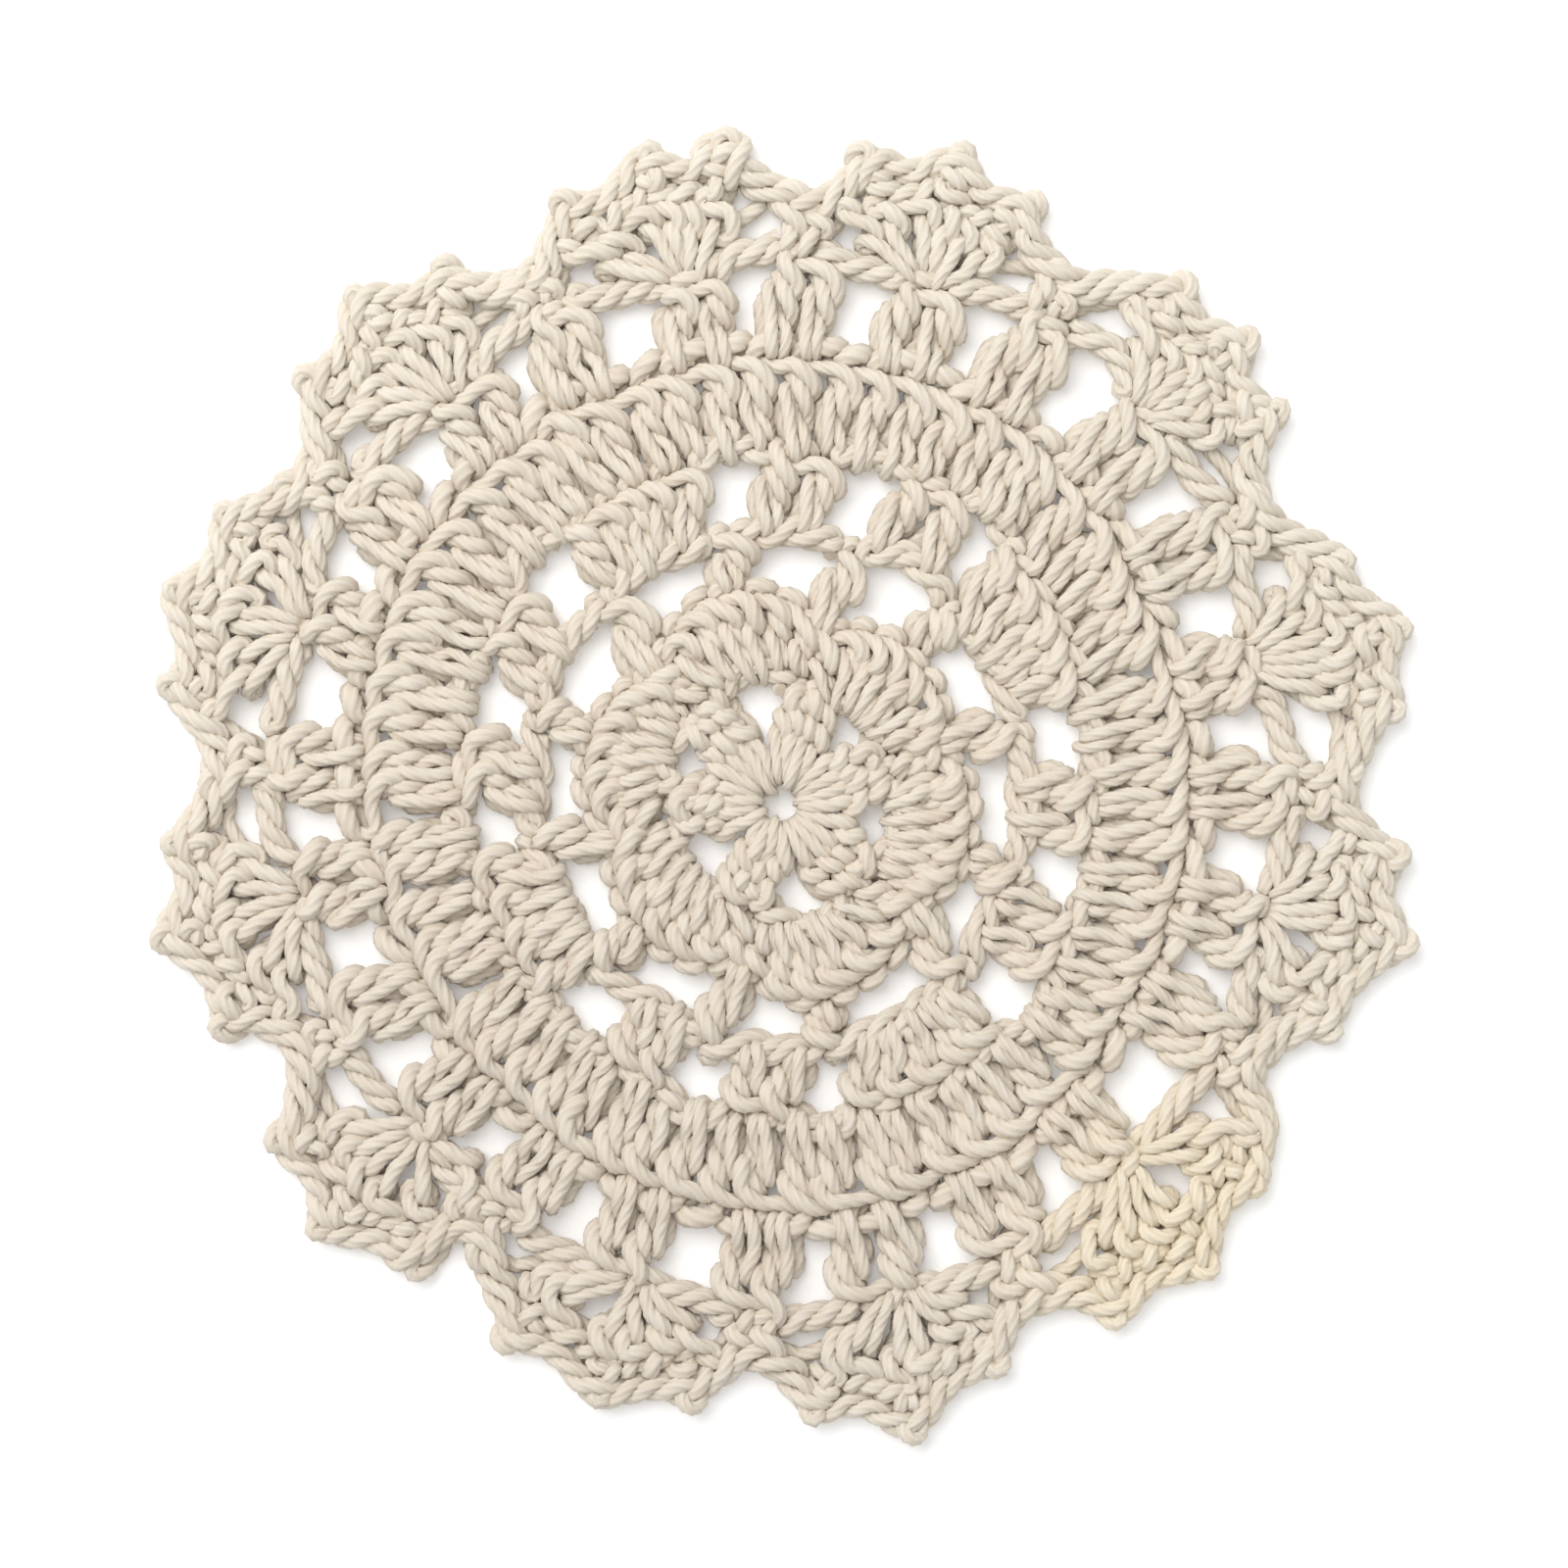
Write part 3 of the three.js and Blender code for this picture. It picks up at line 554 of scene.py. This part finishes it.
# pairs of samples closer than a distance, found by sorting the samples into cells
def closePairs(p, far):
    cell = np.floor((p - p.min(axis=0)) / far).astype(np.int64) + 1
    size = cell.max(axis=0) + 2
    key = (cell[:, 0] * size[1] + cell[:, 1]) * size[2] + cell[:, 2]
    order = np.argsort(key, kind="stable")
    sortedKey = key[order]
    found = []
    for dx in (-1, 0, 1):
        for dy in (-1, 0, 1):
            for dz in (-1, 0, 1):
                shift = (dx * size[1] + dy) * size[2] + dz
                if shift < 0:
                    continue
                low = np.searchsorted(sortedKey, key + shift, "left")
                many = np.searchsorted(sortedKey, key + shift, "right") - low
                i = np.repeat(np.arange(len(p)), many)
                first = np.repeat(low - (np.cumsum(many) - many), many)
                j = order[first + np.arange(many.sum())]
                keep = (i < j) if shift == 0 else np.ones(len(i), bool)
                i, j = i[keep], j[keep]
                keep = ((p[i] - p[j]) ** 2).sum(axis=1) < far * far
                found.append(np.stack([i[keep], j[keep]], axis=1))
    return np.concatenate(found)


# strands push each other aside until they lie against one another
settling = {"apart": 0.90, "turns": 24, "quickTurns": 8, "home": 0.04, "bend": 0.10, "skip": 2.2,
            "near": 1.25, "push": 1.2, "ease": 0.08, "stiff": 0.5, "lift": 0.53}


def settle(lines, turns):
    names = list(lines)
    whole = np.concatenate([lines[n] for n in names])
    p, girth = whole[:, :3].copy(), whole[:, 3]
    owner = np.concatenate([np.full(len(lines[n]), k) for k, n in enumerate(names)])
    home = p.copy()
    widest = settling["apart"] * yarn["thick"]
    skip = int(settling["skip"] * yarn["thick"] / yarn["step"])
    joined = owner[1:] == owner[:-1]
    inner = np.concatenate([[False], joined[1:] & joined[:-1], [False]])
    for turn in range(turns):
        if turn % 4 == 0:
            pairs = closePairs(p, widest * settling["near"])
            own = owner[pairs[:, 0]] == owner[pairs[:, 1]]
            pairs = pairs[~(own & (np.abs(pairs[:, 0] - pairs[:, 1]) < skip))]
        i, j = pairs[:, 0], pairs[:, 1]
        apart = widest * 0.5 * (girth[i] + girth[j])
        gap = p[i] - p[j]
        dist = np.sqrt((gap ** 2).sum(axis=1)) + 1e-6
        push = np.where(dist < apart, 0.5 * (apart - dist) / dist, 0)[:, None] * gap
        move = np.zeros_like(p)
        hits = np.zeros(len(p))
        np.add.at(move, i, push)
        np.add.at(move, j, -push)
        np.add.at(hits, i, dist < apart)
        np.add.at(hits, j, dist < apart)
        p += settling["push"] * move / np.maximum(hits, 1)[:, None]
        p += settling["home"] * (home - p)
        bend = np.zeros_like(p)
        bend[1:-1] = 0.5 * (p[:-2] + p[2:]) - p[1:-1]
        sharp = np.sqrt((bend ** 2).sum(axis=1)) + 1e-9
        tooSharp = np.maximum(0, 1 - settling["bend"] / sharp)
        bend *= (settling["ease"] + settling["stiff"] * tooSharp)[:, None]
        p[inner] += bend[inner]
        p[:, 2] = np.maximum(p[:, 2], settling["lift"] * yarn["thick"] * girth)
    out, at = {}, 0
    for n in names:
        many = len(lines[n])
        out[n] = np.column_stack([p[at:at + many], girth[at:at + many]])
        at += many
    return out


lines = settle(lines, settling["turns"])
print("settled")


# the section of the yarn: a ring of plies, with a crease between each two
def plySection():
    sides = yarn["sides"]
    turn = 2 * math.pi * np.arange(sides) / sides
    crease = np.arange(sides) % (sides // yarn["plies"]) == 0
    radius = np.where(crease, 1 - 2 * yarn["ridge"], 1 + 0.5 * yarn["ridge"])
    ring = np.stack([radius * np.cos(turn), radius * np.sin(turn), 0 * turn], axis=1)
    data = bpy.data.meshes.new("ply_section")
    data.from_pydata(ring.tolist(), [(k, (k + 1) % sides) for k in range(sides)], [])
    # the creases are marked both for painted shade in the cotton and for its bump
    groove = data.attributes.new("groove", "FLOAT", "POINT")
    groove.data.foreach_set("value", crease.astype(np.float32))
    around = data.attributes.new("around", "FLOAT_VECTOR", "POINT")
    around.data.foreach_set("vector", ring.astype(np.float32).ravel())
    section = bpy.data.objects.new("ply_section", data)
    bpy.context.scene.collection.objects.link(section)
    return section


# geometry nodes that sweep the section along a line, turned by twist and scaled by size
def spinYarn(section):
    tree = bpy.data.node_groups.new("spin_yarn", "GeometryNodeTree")
    tree.interface.new_socket(name="Line", in_out="INPUT", socket_type="NodeSocketGeometry")
    tree.interface.new_socket(name="Yarn", in_out="OUTPUT", socket_type="NodeSocketGeometry")
    start = tree.nodes.new("NodeGroupInput")
    end = tree.nodes.new("NodeGroupOutput")
    line = tree.nodes.new("GeometryNodeMeshToCurve")
    tilt = tree.nodes.new("GeometryNodeSetCurveTilt")
    ply = tree.nodes.new("GeometryNodeObjectInfo")
    plyLine = tree.nodes.new("GeometryNodeMeshToCurve")
    sweep = tree.nodes.new("GeometryNodeCurveToMesh")
    smooth = tree.nodes.new("GeometryNodeSetShadeSmooth")
    named = {}
    for name in ("twist", "size"):
        named[name] = tree.nodes.new("GeometryNodeInputNamedAttribute")
        named[name].data_type = "FLOAT"
        named[name].inputs["Name"].default_value = name
    ply.inputs["Object"].default_value = section
    sweep.inputs["Fill Caps"].default_value = True
    link = tree.links.new
    link(start.outputs[0], line.inputs["Mesh"])
    link(line.outputs["Curve"], tilt.inputs["Curve"])
    link(named["twist"].outputs["Attribute"], tilt.inputs["Tilt"])
    link(tilt.outputs["Curve"], sweep.inputs["Curve"])
    link(named["size"].outputs["Attribute"], sweep.inputs["Scale"])
    link(ply.outputs["Geometry"], plyLine.inputs["Mesh"])
    link(plyLine.outputs["Curve"], sweep.inputs["Profile Curve"])
    link(sweep.outputs["Mesh"], smooth.inputs[0])
    link(smooth.outputs[0], end.inputs[0])
    return tree


def yarnPiece(name, parts, tree):
    parts = [evenLine(part, yarn["step"]) for part in parts]
    points = np.concatenate(parts)
    starts = np.cumsum([0] + [len(part) for part in parts])
    ends = []
    for a, b in zip(starts[:-1], starts[1:]):
        ends += [(k, k + 1) for k in range(a, b - 1)]
    run = np.concatenate([np.arange(len(part)) * yarn["step"] for part in parts])
    data = bpy.data.meshes.new(name + "_line")
    data.from_pydata((points[:, :3] * mm).tolist(), ends, [])
    # the yarn is thicker in some places than in others
    knots = np.arange(0, run.max() + yarn["slubPast"], yarn["slubRun"])
    uneven = rng.normal(0, 1, len(knots)).clip(-yarn["slubMost"], yarn["slubMost"])
    slub = np.interp(run, knots, 1 + yarn["slub"] * uneven)
    size = points[:, 3] * slub * yarn["thick"] * 0.5 * mm
    values = {"run": run, "twist": 2 * math.pi * run / yarn["lay"], "size": size}
    for key, value in values.items():
        data.attributes.new(key, "FLOAT", "POINT").data.foreach_set("value", value.astype(np.float32))
    draft = bpy.data.objects.new(name + "_draft", data)
    bpy.context.scene.collection.objects.link(draft)
    draft.modifiers.new("spin", "NODES").node_group = tree
    spun = draft.evaluated_get(bpy.context.evaluated_depsgraph_get())
    whole = bpy.data.meshes.new_from_object(spun)
    whole.name = name
    bpy.data.objects.remove(draft)
    piece = bpy.data.objects.new(name, whole)
    bpy.context.scene.collection.objects.link(piece)
    return piece


section = plySection()
tree = spinYarn(section)
pieces = {}
groupsOfRounds = {
    "centre_yarn": ["ring", "petals", "shells", "loops"], "groups_yarn": ["groups"], "band_yarn": ["band"],
    "mesh_yarn": ["mesh"], "fans_yarn": ["fans"], "edge_yarn": ["edge", "slants"],
}
for name, members in groupsOfRounds.items():
    pieces[name] = yarnPiece(name, [lines[m] for m in members], tree)
    data = pieces[name].data
    data.calc_loop_triangles()
    print(name, len(data.loop_triangles), round(sum(t.area for t in data.loop_triangles) / 2, 5))
bpy.data.objects.remove(section)

cottonLook = {
    "light": (0.765, 0.703, 0.61, 1), "warm": (0.76, 0.675, 0.555, 1), "rim": (0.80, 0.738, 0.635, 1),
    # shade is the brown towards which painted shade and the random fibre and length tones mix the colour
    "shade": (0.50, 0.38, 0.25, 1), "rimFrom": 0.040, "rimTo": 0.070,
    # the next colour and its place are painted shade on the lower left of the mat
    "lowerLeftShade": (0.69, 0.618, 0.53, 1), "lowerLeftShadeAt": (-0.024, -0.044, 0), "lowerLeftShadeFrom": 0.010, "lowerLeftShadeSize": 0.085,
    "lowerLeftShadeMost": 0.6, "cream": (0.85, 0.755, 0.575, 1), "creamAt": (0.042, -0.048, 0), "creamFrom": 0.004,
    "creamSize": 0.026, "creamMost": 0.8, "patch": 0.8, "patchScale": 70,
    "rough": 0.9, "sheen": 0.2, "sheenRough": 0.5, "shine": 0.2,
    # groove is how far painted shade darkens the ply creases
    "groove": 0.2, "fibre": 0.5, "fibreScale": 6.0, "fibreRun": 0.12,
    "strand": 0.8, "strandRun": 0.16, "strandMiddle": 0.45,
    # deep is how far painted shade darkens the strands low in the fabric
    "bump": 0.5, "bumpHigh": 0.0002, "bumpGroove": 0.5, "deep": 0.3, "deepFrom": 0.0015, "deepTo": 0.0005,
}


def cottonMaterial():
    material = bpy.data.materials.new("cotton_yarn")
    material.use_nodes = True
    make = material.node_tree.nodes.new
    link = material.node_tree.links.new
    bsdf = material.node_tree.nodes["Principled BSDF"]
    bsdf.inputs["Roughness"].default_value = cottonLook["rough"]
    bsdf.inputs["Sheen Weight"].default_value = cottonLook["sheen"]
    bsdf.inputs["Sheen Roughness"].default_value = cottonLook["sheenRough"]
    bsdf.inputs["Specular IOR Level"].default_value = cottonLook["shine"]

    def attribute(name):
        node = make("ShaderNodeAttribute")
        node.attribute_name = name
        return node

    def maths(operation, a, b):
        node = make("ShaderNodeMath")
        node.operation = operation
        for socket, value in zip(node.inputs, (a, b)):
            if isinstance(value, (int, float)):
                socket.default_value = value
            else:
                link(value, socket)
        return node.outputs[0]

    def noise(vector, scale, detail):
        node = make("ShaderNodeTexNoise")
        node.inputs["Scale"].default_value = scale
        node.inputs["Detail"].default_value = detail
        link(vector, node.inputs["Vector"])
        return node.outputs["Fac"]

    def mixed(factor, a, b):
        node = make("ShaderNodeMix")
        node.data_type = "RGBA"
        link(factor, node.inputs["Factor"])
        for socket, value in ((node.inputs["A"], a), (node.inputs["B"], b)):
            if isinstance(value, tuple):
                socket.default_value = value
            else:
                link(value, socket)
        return node.outputs["Result"]

    place = make("ShaderNodeTexCoord").outputs["Object"]

    # a share that changes with the distance from a place on the mat
    def fromPlace(at, start, end, least, most):
        away = make("ShaderNodeVectorMath")
        away.operation = "DISTANCE"
        link(place, away.inputs[0])
        away.inputs[1].default_value = at
        ramp = make("ShaderNodeMapRange")
        ramp.interpolation_type = "SMOOTHSTEP"
        link(away.outputs["Value"], ramp.inputs["Value"])
        ramp.inputs["From Min"].default_value = start
        ramp.inputs["From Max"].default_value = end
        ramp.inputs["To Min"].default_value = least
        ramp.inputs["To Max"].default_value = most
        return ramp.outputs["Result"]

    # fibres run with the plies: fine across the strand, long along it
    split = make("ShaderNodeSeparateXYZ")
    link(attribute("around").outputs["Vector"], split.inputs[0])
    fibreSpace = make("ShaderNodeCombineXYZ")
    link(split.outputs["X"], fibreSpace.inputs["X"])
    link(split.outputs["Y"], fibreSpace.inputs["Y"])
    fibreRun = maths("MULTIPLY", attribute("run").outputs["Fac"], cottonLook["fibreRun"])
    link(fibreRun, fibreSpace.inputs["Z"])
    fibre = noise(fibreSpace.outputs[0], cottonLook["fibreScale"], 4)
    groove = attribute("groove").outputs["Fac"]
    patches = noise(place, cottonLook["patchScale"], 2)

    # painted shade: the ply creases are darker; the fibre noise adds a random tone
    shade = maths("ADD", maths("MULTIPLY", groove, cottonLook["groove"]),
                  maths("MULTIPLY", maths("SUBTRACT", fibre, 0.5), cottonLook["fibre"]))
    # painted shade: strands deep in the fabric, where shade falls, are darker
    height = make("ShaderNodeSeparateXYZ")
    link(place, height.inputs[0])
    deep = make("ShaderNodeMapRange")
    link(height.outputs["Z"], deep.inputs["Value"])
    deep.inputs["From Min"].default_value = cottonLook["deepTo"]
    deep.inputs["From Max"].default_value = cottonLook["deepFrom"]
    deep.inputs["To Min"].default_value = cottonLook["deep"]
    deep.inputs["To Max"].default_value = 0
    shade = maths("ADD", shade, deep.outputs["Result"])
    # the yarn is darker in some lengths than in others
    lengths = make("ShaderNodeCombineXYZ")
    strandRun = maths("MULTIPLY", attribute("run").outputs["Fac"], cottonLook["strandRun"])
    link(strandRun, lengths.inputs["X"])
    tone = maths("SUBTRACT", noise(lengths.outputs[0], 1.0, 2), cottonLook["strandMiddle"])
    shade = maths("ADD", shade, maths("MULTIPLY", tone, cottonLook["strand"]))
    shade.node.use_clamp = True
    base = mixed(maths("MULTIPLY", patches, cottonLook["patch"]), cottonLook["light"], cottonLook["warm"])
    # the rim is paler than the middle and one scallop creamier than the rest; painted shade darkens the lower
    # left, where the light falls off
    middle = (ringCentre[0] * mm, ringCentre[1] * mm, 0)
    base = mixed(fromPlace(middle, cottonLook["rimFrom"], cottonLook["rimTo"], 0, 1), base, cottonLook["rim"])
    for tint in ("lowerLeftShade", "cream"):
        share = fromPlace(cottonLook[tint + "At"], cottonLook[tint + "From"], cottonLook[tint + "Size"],
                          cottonLook[tint + "Most"], 0)
        base = mixed(share, base, cottonLook[tint])
    link(mixed(shade, base, cottonLook["shade"]), bsdf.inputs["Base Color"])
    bump = make("ShaderNodeBump")
    bump.inputs["Strength"].default_value = cottonLook["bump"]
    bump.inputs["Distance"].default_value = cottonLook["bumpHigh"]
    link(maths("SUBTRACT", fibre, maths("MULTIPLY", groove, cottonLook["bumpGroove"])), bump.inputs["Height"])
    link(bump.outputs["Normal"], bsdf.inputs["Normal"])
    return material


cotton = cottonMaterial()
for name, piece in pieces.items():
    piece.data.materials.clear()
    piece.data.materials.append(cotton)
    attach(piece, "root")
    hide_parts("coaster")
print("cotton on")

# floor, light and camera
floorLook = {"half": 1.0, "colour": (0.95, 0.95, 0.95, 1), "rough": 0.9, "glow": 0.14}
floorData = bpy.data.meshes.new("floor")
floorForm = bmesh.new()
bmesh.ops.create_grid(floorForm, x_segments=1, y_segments=1, size=floorLook["half"])
floorForm.to_mesh(floorData)
floorForm.free()
floor = bpy.data.objects.new("floor", floorData)
bpy.context.scene.collection.objects.link(floor)
floorMaterial = bpy.data.materials.new("floor_white")
floorMaterial.use_nodes = True
floorShader = floorMaterial.node_tree.nodes["Principled BSDF"]
floorShader.inputs["Base Color"].default_value = floorLook["colour"]
floorShader.inputs["Roughness"].default_value = floorLook["rough"]
floorShader.inputs["Emission Color"].default_value = (1, 1, 1, 1)
floorShader.inputs["Emission Strength"].default_value = floorLook["glow"]
floorData.materials.append(floorMaterial)

studio = {"sky": 0.67, "lamp": 4.0, "lampSize": 0.6, "lampPlace": (-0.25, 0.3, 0.6),
          "lampTurn": (-26, -22, 0)}
world = bpy.data.worlds.new("studio")
world.use_nodes = True
world.node_tree.nodes["Background"].inputs["Color"].default_value = (1, 1, 1, 1)
world.node_tree.nodes["Background"].inputs["Strength"].default_value = studio["sky"]
bpy.context.scene.world = world
lampData = bpy.data.lights.new("key", "AREA")
lampData.energy = studio["lamp"]
lampData.size = studio["lampSize"]
lamp = bpy.data.objects.new("key", lampData)
lamp.location = studio["lampPlace"]
lamp.rotation_euler = [math.radians(turn) for turn in studio["lampTurn"]]
bpy.context.scene.collection.objects.link(lamp)

view = {"width": 0.160, "lens": 100, "sensor": 36, "near": 0.01}  # the photo's frame is 160 mm wide
cameraData = bpy.data.cameras.new("camera")
cameraData.sensor_width = view["sensor"]
cameraData.lens = view["lens"]
cameraData.clip_start = view["near"]
camera = bpy.data.objects.new("camera", cameraData)
camera.location = (0, 0, midHeight * mm + view["width"] * view["lens"] / view["sensor"])
bpy.context.scene.collection.objects.link(camera)
bpy.context.scene.camera = camera
bpy.context.scene.view_settings.view_transform = "Standard"
